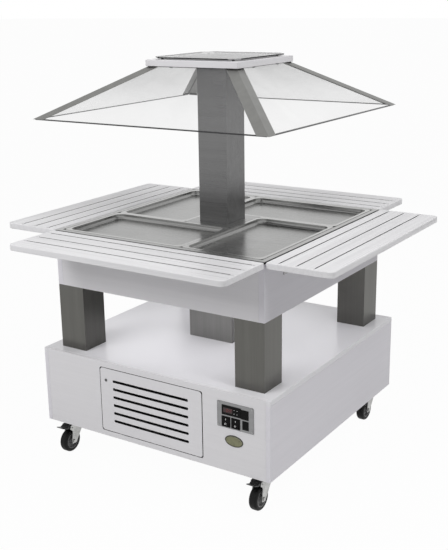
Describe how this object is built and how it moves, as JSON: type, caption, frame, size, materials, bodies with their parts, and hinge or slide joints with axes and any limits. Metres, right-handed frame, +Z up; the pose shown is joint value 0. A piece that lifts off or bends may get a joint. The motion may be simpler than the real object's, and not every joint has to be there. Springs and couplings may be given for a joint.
{
  "type": "mobile salad bar",
  "caption": "Square refrigerated salad bar on castors: shallow pans in a sunken well, fold-down slatted tray shelves, central column and clear pyramid canopy.",
  "frame": {"origin": "on the floor under the centre of the square plan", "axes": "+X right along the front with the door, +Y to the back, +Z up"},
  "size_m": [1.394, 1.394, 1.51],
  "materials": {
    "white_board": "satin white paint on board",
    "deck_board": "matt",
    "leg_steel": "brushed, dark",
    "column_steel": "brushed",
    "well_steel": "satin",
    "plate_steel": "satin",
    "small_steel": "satin",
    "castor_steel": "zinc plated",
    "wheel": "matt",
    "pedal_black": "matt",
    "black_plastic": "satin",
    "key_plastic": "satin",
    "latch_zinc": "matt",
    "clear_pane": "clear, gloss",
    "profile_aluminium": "satin",
    "foam": "rigid foam",
    "black_can": "satin black",
    "coil_aluminium": "plain",
    "fan_plastic": "matt",
    "copper": "drawn tube"
  },
  "bodies": {
    "cart": {"base_floor_panel": "white_board", "base_top_panel": "white_board", "base_front_panel": "white_board", "base_back_panel": "white_board", "base_side_panels": "white_board", "apron_side_boards": "white_board", "apron_cross_boards": "white_board", "canopy_slab": "white_board", "deck_panel": "deck_board", "legs": "leg_steel", "service_duct": "leg_steel", "column": "column_steel", "well_tub": "well_steel", "pan_support_cross": "well_steel", "control_bezel": "plate_steel", "fixing_screws": "small_steel", "shelf_hinge_brackets": "small_steel", "castor_plates": "castor_steel", "control_modules": "black_plastic", "canopy_fixings": "black_plastic", "power_inlet": "black_plastic", "canopy_panes": "clear_pane", "cover_plate": "clear_pane", "corner_profiles": "profile_aluminium", "well_insulation": "foam", "compressor": "black_can", "condenser_unit": "coil_aluminium", "refrigerant_circuit": "copper"},
    "tray_shelf_front": {"shelf_front": "white_board", "shelf_hinge_straps_front": "small_steel"},
    "tray_shelf_right": {"shelf_right": "white_board", "shelf_hinge_straps_right": "small_steel"},
    "tray_shelf_back": {"shelf_back": "white_board", "shelf_hinge_straps_back": "small_steel"},
    "tray_shelf_left": {"shelf_left": "white_board", "shelf_hinge_straps_left": "small_steel"},
    "swivel_front_left": {"castor_fork_front_left": "castor_steel"},
    "wheel_front_left": {"castor_wheel_front_left": "wheel"},
    "pan_body_front_left": {"pan_front_left": "well_steel"},
    "swivel_front_right": {"castor_fork_front_right": "castor_steel"},
    "wheel_front_right": {"castor_wheel_front_right": "wheel"},
    "pan_body_front_right": {"pan_front_right": "well_steel"},
    "swivel_back_right": {"castor_fork_back_right": "castor_steel"},
    "wheel_back_right": {"castor_wheel_back_right": "wheel"},
    "pan_body_back_right": {"pan_back_right": "well_steel"},
    "swivel_back_left": {"castor_fork_back_left": "castor_steel"},
    "wheel_back_left": {"castor_wheel_back_left": "wheel"},
    "pan_body_back_left": {"pan_back_left": "well_steel"},
    "pedal_front_left": {"brake_pedal_front_left": "pedal_black"},
    "pedal_front_right": {"brake_pedal_front_right": "pedal_black"},
    "door": {"door_panel": "white_board", "door_pins": "small_steel"},
    "latch": {"door_latch": "latch_zinc"},
    "switch_main": {"rocker_main": "black_plastic"},
    "switch_light": {"rocker_light": "black_plastic"},
    "key_1": {"thermostat_key_1": "key_plastic"},
    "key_2": {"thermostat_key_2": "key_plastic"},
    "key_3": {"thermostat_key_3": "key_plastic"},
    "key_4": {"thermostat_key_4": "key_plastic"},
    "fan": {"condenser_fan": "fan_plastic"}
  },
  "joints": [
    {"name": "fold_shelf_front", "type": "hinge", "parent": "cart", "child": "tray_shelf_front", "pos_m": [0, -0.462, 0.8644], "axis": [1, 0, 0], "range_deg": [0, 90]},
    {"name": "fold_shelf_right", "type": "hinge", "parent": "cart", "child": "tray_shelf_right", "pos_m": [0.462, 0, 0.8644], "axis": [0, 1, 0], "range_deg": [0, 90]},
    {"name": "fold_shelf_back", "type": "hinge", "parent": "cart", "child": "tray_shelf_back", "pos_m": [0, 0.462, 0.8644], "axis": [-1, 0, 0], "range_deg": [0, 90]},
    {"name": "fold_shelf_left", "type": "hinge", "parent": "cart", "child": "tray_shelf_left", "pos_m": [-0.462, 0, 0.8644], "axis": [0, -1, 0], "range_deg": [0, 90]},
    {"name": "swivel_turn_front_left", "type": "hinge", "parent": "cart", "child": "swivel_front_left", "pos_m": [-0.432, -0.432, 0.12], "axis": [0, 0, 1], "continuous": true},
    {"name": "wheel_spin_front_left", "type": "hinge", "parent": "swivel_front_left", "child": "wheel_front_left", "pos_m": [-0.432, -0.463, 0.045], "axis": [1, 0, 0], "continuous": true},
    {"name": "swivel_turn_front_right", "type": "hinge", "parent": "cart", "child": "swivel_front_right", "pos_m": [0.432, -0.432, 0.12], "axis": [0, 0, 1], "continuous": true},
    {"name": "wheel_spin_front_right", "type": "hinge", "parent": "swivel_front_right", "child": "wheel_front_right", "pos_m": [0.432, -0.463, 0.045], "axis": [1, 0, 0], "continuous": true},
    {"name": "swivel_turn_back_right", "type": "hinge", "parent": "cart", "child": "swivel_back_right", "pos_m": [0.432, 0.432, 0.12], "axis": [0, 0, 1], "continuous": true},
    {"name": "wheel_spin_back_right", "type": "hinge", "parent": "swivel_back_right", "child": "wheel_back_right", "pos_m": [0.432, 0.401, 0.045], "axis": [1, 0, 0], "continuous": true},
    {"name": "swivel_turn_back_left", "type": "hinge", "parent": "cart", "child": "swivel_back_left", "pos_m": [-0.432, 0.432, 0.12], "axis": [0, 0, 1], "continuous": true},
    {"name": "wheel_spin_back_left", "type": "hinge", "parent": "swivel_back_left", "child": "wheel_back_left", "pos_m": [-0.432, 0.401, 0.045], "axis": [1, 0, 0], "continuous": true},
    {"name": "pedal_press_front_left", "type": "hinge", "parent": "swivel_front_left", "child": "pedal_front_left", "pos_m": [-0.432, -0.471, 0.105], "axis": [1, 0, 0], "range_deg": [0, 12]},
    {"name": "pedal_press_front_right", "type": "hinge", "parent": "swivel_front_right", "child": "pedal_front_right", "pos_m": [0.432, -0.471, 0.105], "axis": [1, 0, 0], "range_deg": [0, 12]},
    {"name": "door_swing", "type": "hinge", "parent": "cart", "child": "door", "pos_m": [0.217, -0.493, 0.283], "axis": [0, 0, 1], "range_deg": [0, 95]},
    {"name": "latch_turn", "type": "hinge", "parent": "door", "child": "latch", "pos_m": [-0.2, -0.493, 0.361], "axis": [0, -1, 0], "range_deg": [0, 90]},
    {"name": "rocker_main_tilt", "type": "hinge", "parent": "cart", "child": "switch_main", "pos_m": [0.3275, -0.498, 0.3225], "axis": [1, 0, 0], "range_deg": [0, 14]},
    {"name": "rocker_light_tilt", "type": "hinge", "parent": "cart", "child": "switch_light", "pos_m": [0.3665, -0.498, 0.3225], "axis": [1, 0, 0], "range_deg": [0, 14]},
    {"name": "key_1_press", "type": "slide", "parent": "cart", "child": "key_1", "axis": [0, 1, 0], "range_m": [0, 0.0006], "stiffness_N_per_m": 500, "springref_m": -0.0008},
    {"name": "key_2_press", "type": "slide", "parent": "cart", "child": "key_2", "axis": [0, 1, 0], "range_m": [0, 0.0006], "stiffness_N_per_m": 500, "springref_m": -0.0008},
    {"name": "key_3_press", "type": "slide", "parent": "cart", "child": "key_3", "axis": [0, 1, 0], "range_m": [0, 0.0006], "stiffness_N_per_m": 500, "springref_m": -0.0008},
    {"name": "key_4_press", "type": "slide", "parent": "cart", "child": "key_4", "axis": [0, 1, 0], "range_m": [0, 0.0006], "stiffness_N_per_m": 500, "springref_m": -0.0008},
    {"name": "pan_lift_front_left", "type": "slide", "parent": "cart", "child": "pan_body_front_left", "axis": [0, 0, 1], "range_m": [0, 0.15]},
    {"name": "pan_lift_front_right", "type": "slide", "parent": "cart", "child": "pan_body_front_right", "axis": [0, 0, 1], "range_m": [0, 0.15]},
    {"name": "pan_lift_back_right", "type": "slide", "parent": "cart", "child": "pan_body_back_right", "axis": [0, 0, 1], "range_m": [0, 0.15]},
    {"name": "pan_lift_back_left", "type": "slide", "parent": "cart", "child": "pan_body_back_left", "axis": [0, 0, 1], "range_m": [0, 0.15]},
    {"name": "fan_spin", "type": "hinge", "parent": "cart", "child": "fan", "pos_m": [0, -0.38, 0.272], "axis": [0, 1, 0], "continuous": true}
  ]
}
